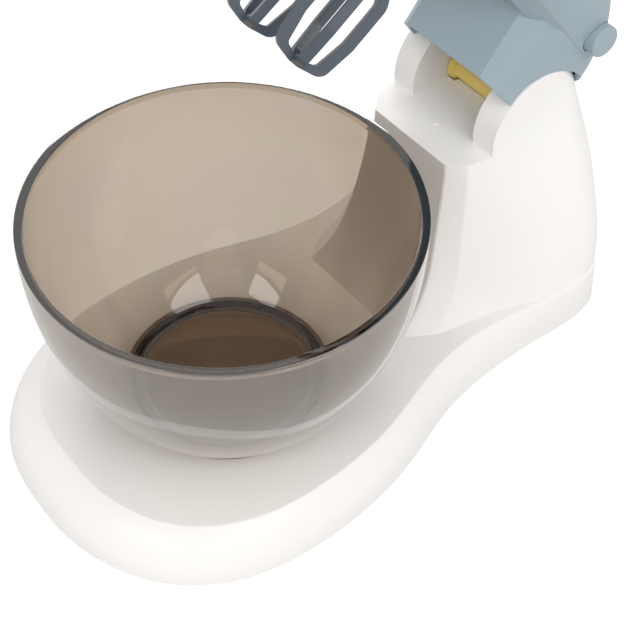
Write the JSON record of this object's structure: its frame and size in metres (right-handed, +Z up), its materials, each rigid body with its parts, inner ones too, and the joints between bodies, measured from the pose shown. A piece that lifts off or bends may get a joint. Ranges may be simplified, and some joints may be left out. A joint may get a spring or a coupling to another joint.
{
  "type": "toy stand mixer",
  "caption": "Toy stand mixer: a tilting head on a column drives twin beaters by a worm, over a lift-out smoked bowl on a waisted base.",
  "frame": {"origin": "on the flat underside, below the middle of the bowl", "axes": "+X to the side with the start button, +Y from the bowl back to the column, +Z up"},
  "size_m": [0.13, 0.2212, 0.2397],
  "materials": {
    "white_plastic": "smooth moulded plastic",
    "plate_plastic": "fine grain",
    "head_plastic": "satin moulded plastic",
    "beater_plastic": "satin moulded plastic",
    "spool_plastic": "smooth moulded plastic",
    "smoked_clear": "polished clear plastic",
    "steel": "plain steel",
    "spring_steel": "drawn wire",
    "inner_plastic": "as moulded",
    "gear_nylon": "as moulded",
    "switch_plastic": "as moulded",
    "cell_wrap": "printed film without print"
  },
  "bodies": {
    "base": {"base_shell": "white_plastic", "base_plate": "plate_plastic", "base_screws": "steel", "battery_holder": "inner_plastic", "battery_cells": "cell_wrap", "battery_contacts": "spring_steel", "battery_springs": "spring_steel", "battery_door": "plate_plastic", "battery_door_screw": "steel", "column": "white_plastic", "column_screws": "steel", "hinge_pin": "steel"},
    "head": {"head_lower": "head_plastic", "head_top": "head_plastic", "head_screws": "steel", "hinge_spool": "spool_plastic", "motor_can": "steel", "motor_cap": "inner_plastic", "motor_strap": "steel", "strap_screws": "steel", "gear_plate": "inner_plastic", "gear_plate_screws": "steel", "spindle_bushes": "inner_plastic", "start_switch": "switch_plastic"},
    "worm_shaft": {"motor_shaft": "steel", "worm": "gear_nylon"},
    "spindle_left": {"spindle_left": "gear_nylon"},
    "spindle_right": {"spindle_right": "gear_nylon"},
    "beater_left": {"beater_left": "beater_plastic", "drive_tip_left": "beater_plastic"},
    "beater_right": {"beater_right": "beater_plastic", "drive_tip_right": "beater_plastic"},
    "start_button": {"start_button": "head_plastic", "button_spring": "spring_steel"},
    "bowl": {"bowl": "smoked_clear"}
  },
  "joints": [
    {"name": "head_tilt", "type": "hinge", "parent": "base", "child": "head", "pos_m": [0, 0.1136, 0.0844], "axis": [1, 0, 0], "range_deg": [0, 56]},
    {"name": "spindle_right_turn", "type": "hinge", "parent": "head", "child": "spindle_right", "pos_m": [0.0115, 0.0732, 0.19007], "axis": [0, 0.829, 0.5592], "continuous": true},
    {"name": "spindle_left_turn", "type": "hinge", "parent": "head", "child": "spindle_left", "pos_m": [-0.0115, 0.0732, 0.19007], "axis": [0, 0.829, 0.5592], "continuous": true},
    {"name": "worm_turn", "type": "hinge", "parent": "head", "child": "worm_shaft", "pos_m": [0, 0.08066, 0.19511], "axis": [0, 0.5592, -0.829], "continuous": true},
    {"name": "beater_right_pull", "type": "slide", "parent": "spindle_right", "child": "beater_right", "axis": [0, -0.829, -0.5592], "range_m": [0, 0.016]},
    {"name": "beater_left_pull", "type": "slide", "parent": "spindle_left", "child": "beater_left", "axis": [0, -0.829, -0.5592], "range_m": [0, 0.016]},
    {"name": "button_press", "type": "slide", "parent": "head", "child": "start_button", "axis": [-1, 0, 0], "range_m": [0, 0.002], "stiffness_N_per_m": 400, "springref_m": -0.001, "deforming": ["button_spring"]},
    {"name": "bowl_lift", "type": "slide", "parent": "base", "child": "bowl", "axis": [0, 0, 1], "range_m": [0, 0.008]}
  ],
  "couplings": [
    {"joint": "spindle_left_turn", "follows": "spindle_right_turn", "ratio": -1},
    {"joint": "worm_turn", "follows": "spindle_right_turn", "ratio": 20}
  ]
}
